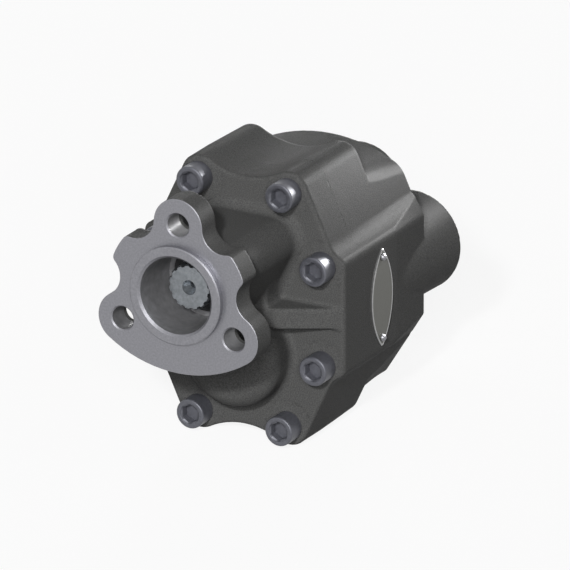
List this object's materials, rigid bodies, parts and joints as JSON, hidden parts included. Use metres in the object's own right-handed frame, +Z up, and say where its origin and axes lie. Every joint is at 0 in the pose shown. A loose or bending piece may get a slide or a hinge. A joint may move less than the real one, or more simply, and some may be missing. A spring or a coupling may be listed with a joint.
{
  "type": "gear pump",
  "caption": "External gear pump in a cast-iron body, with a flanged front cover, a recessed splined drive shaft and rear ports.",
  "frame": {"origin": "on the drive shaft's axis, in the mounting face of the flange", "axes": "+Y along the shafts towards the ports, -Y out of the mounting face, +X to the right seen from the flange, +Z up, from the driven shaft to the drive shaft"},
  "size_m": [0.1383, 0.226, 0.1723],
  "materials": {
    "cast_iron": "dark as-cast skin with fine grain, machined bright on the flange face",
    "screw_steel": "zinc-flake, satin",
    "ground_steel": "ground",
    "gear_steel": "case hardened and ground",
    "plate_bronze": "machined",
    "bush_bronze": "rolled",
    "seal_rubber": "moulded nitrile rubber",
    "backup_plastic": "moulded",
    "spring_steel": "drawn wire and stamped strip",
    "nameplate_aluminium": "anodised, satin",
    "rivet_steel": "plated"
  },
  "bodies": {
    "pump_body": {"front_cover": "cast_iron", "pump_body": "cast_iron", "cover_screws": "screw_steel", "dowel_pins": "ground_steel", "front_pressure_plate": "plate_bronze", "rear_pressure_plate": "plate_bronze", "front_plate_seal": "seal_rubber", "rear_plate_seal": "seal_rubber", "front_plate_backup": "backup_plastic", "rear_plate_backup": "backup_plastic", "front_drive_bush": "bush_bronze", "front_driven_bush": "bush_bronze", "rear_drive_bush": "bush_bronze", "rear_driven_bush": "bush_bronze", "outer_shaft_seal": "seal_rubber", "inner_shaft_seal": "seal_rubber", "outer_garter_spring": "spring_steel", "inner_garter_spring": "spring_steel", "seal_spacer": "ground_steel", "seal_snap_ring": "spring_steel", "body_seal": "seal_rubber", "nameplate": "nameplate_aluminium", "nameplate_rivets": "rivet_steel"},
    "drive_shaft": {"drive_gear_shaft": "gear_steel"},
    "driven_shaft": {"driven_gear_shaft": "gear_steel"}
  },
  "joints": [
    {"name": "drive_shaft_spin", "type": "hinge", "parent": "pump_body", "child": "drive_shaft", "pos_m": [0, 0.1, 0], "axis": [0, 1, 0], "continuous": true},
    {"name": "driven_shaft_spin", "type": "hinge", "parent": "pump_body", "child": "driven_shaft", "pos_m": [0, 0.1, -0.0585], "axis": [0, 1, 0], "continuous": true}
  ],
  "couplings": [
    {"joint": "driven_shaft_spin", "follows": "drive_shaft_spin", "ratio": -1}
  ]
}
